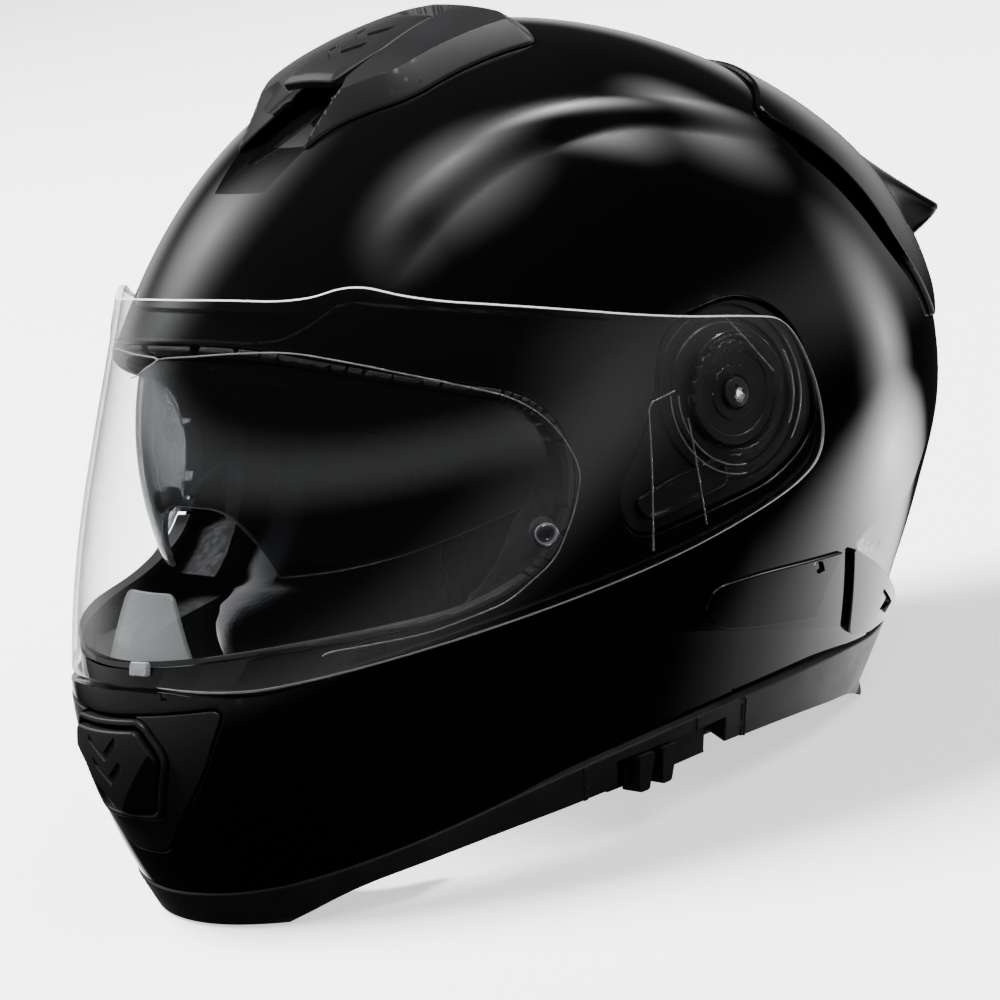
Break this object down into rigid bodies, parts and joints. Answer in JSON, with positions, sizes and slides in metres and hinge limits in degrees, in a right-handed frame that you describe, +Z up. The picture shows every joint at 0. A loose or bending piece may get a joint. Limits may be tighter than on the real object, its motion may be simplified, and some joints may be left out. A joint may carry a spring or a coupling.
{
  "type": "motorcycle helmet",
  "caption": "Full-face motorcycle helmet with flip-up clear face shield, drop-down smoked sun visor, sliding top vent, push-button chin vent, padded lining, rear spoiler and D-ring chin strap.",
  "frame": {"origin": "bottom centre of the overall bounds, on the plane the lower trim stands on", "axes": "+X is the wearer's left, -Y is the front (face shield), +Y the rear (spoiler), +Z is up"},
  "size_m": [0.261, 0.3597, 0.2717],
  "materials": {
    "gloss_black": "gloss",
    "satin_black": "satin",
    "matte_black": "matte",
    "black_rubber": "matte",
    "clear_polycarbonate": "polished",
    "smoked_polycarbonate": "polished",
    "frosted_plastic": "satin",
    "impact_foam": "matte",
    "lining_fabric": "matte",
    "webbing": "matte",
    "steel": "satin",
    "grey_mesh": "satin"
  },
  "bodies": {
    "helmet": {"outer_shell": "gloss_black", "top_vent_housing": "gloss_black", "rear_spoiler": "gloss_black", "rear_corner_left": "gloss_black", "rear_corner_right": "gloss_black", "comm_cover_left": "gloss_black", "comm_cover_right": "gloss_black", "base_plate_left": "satin_black", "base_plate_right": "satin_black", "sun_visor_bush_left": "satin_black", "sun_visor_bush_right": "satin_black", "chin_panel": "satin_black", "chin_vent_frame": "satin_black", "lever_rail": "matte_black", "chin_inner_grille": "matte_black", "rear_exhaust_grille": "matte_black", "eyeport_gasket": "black_rubber", "lower_trim": "black_rubber", "breath_guard": "frosted_plastic", "eps_liner": "impact_foam", "chin_eps": "impact_foam", "crown_pad": "lining_fabric", "cheek_pad_left": "lining_fabric", "cheek_pad_right": "lining_fabric", "neck_roll": "lining_fabric", "chin_curtain": "lining_fabric", "strap_left": "webbing", "strap_right": "webbing", "pivot_screw_left": "steel", "pivot_screw_right": "steel", "strap_anchor_left": "steel", "strap_anchor_right": "steel", "top_vent_mesh": "grey_mesh"},
    "shield": {"face_shield": "clear_polycarbonate", "antifog_pin_left": "clear_polycarbonate", "antifog_pin_right": "clear_polycarbonate", "shield_lock_tab": "clear_polycarbonate", "shield_cam_left": "satin_black", "shield_cam_right": "satin_black"},
    "sun_visor": {"sun_visor": "smoked_polycarbonate"},
    "sun_visor_lever": {"sun_visor_lever": "matte_black"},
    "release_lever_left": {"release_lever_left": "satin_black"},
    "release_lever_right": {"release_lever_right": "satin_black"},
    "top_vent_slider": {"top_vent_slider": "satin_black"},
    "chin_vent_button": {"chin_vent_button": "satin_black"},
    "d_ring_upper": {"d_ring_upper": "steel"},
    "d_ring_lower": {"d_ring_lower": "steel"}
  },
  "joints": [
    {"name": "shield_hinge", "type": "hinge", "parent": "helmet", "child": "shield", "pos_m": [0, 0.0142, 0.135], "axis": [-1, 0, 0], "range_deg": [0, 45]},
    {"name": "sun_visor_hinge", "type": "hinge", "parent": "helmet", "child": "sun_visor", "pos_m": [0, -0.0078, 0.127], "axis": [-1, 0, 0], "range_deg": [0, 40]},
    {"name": "sun_visor_lever_slide", "type": "slide", "parent": "helmet", "child": "sun_visor_lever", "axis": [0.0995, 0.995, 0], "range_m": [0, 0.02]},
    {"name": "release_lever_left_hinge", "type": "hinge", "parent": "helmet", "child": "release_lever_left", "pos_m": [0.1205, -0.0018, 0.111], "axis": [1, 0, 0], "range_deg": [0, 7], "stiffness_Nm_per_rad": 0.05},
    {"name": "release_lever_right_hinge", "type": "hinge", "parent": "helmet", "child": "release_lever_right", "pos_m": [-0.1205, -0.0018, 0.111], "axis": [1, 0, 0], "range_deg": [0, 7], "stiffness_Nm_per_rad": 0.05},
    {"name": "top_vent_slide", "type": "slide", "parent": "helmet", "child": "top_vent_slider", "axis": [0, -0.97, -0.243], "range_m": [0, 0.006]},
    {"name": "chin_vent_press", "type": "slide", "parent": "helmet", "child": "chin_vent_button", "axis": [0, 1, 0], "range_m": [0, 0.0025], "stiffness_N_per_m": 400},
    {"name": "d_ring_upper_hinge", "type": "hinge", "parent": "helmet", "child": "d_ring_upper", "pos_m": [0.0189, 0.0142, 0.008], "axis": [0, 1, 0], "range_deg": [0, 50]},
    {"name": "d_ring_lower_hinge", "type": "hinge", "parent": "helmet", "child": "d_ring_lower", "pos_m": [0.013, 0.0142, 0.008], "axis": [0, 1, 0], "range_deg": [0, 50]}
  ],
  "couplings": [
    {"joint": "sun_visor_lever_slide", "follows": "sun_visor_hinge", "m_per_rad": 0.0286},
    {"joint": "d_ring_upper_hinge", "follows": "d_ring_lower_hinge", "ratio": 1}
  ]
}
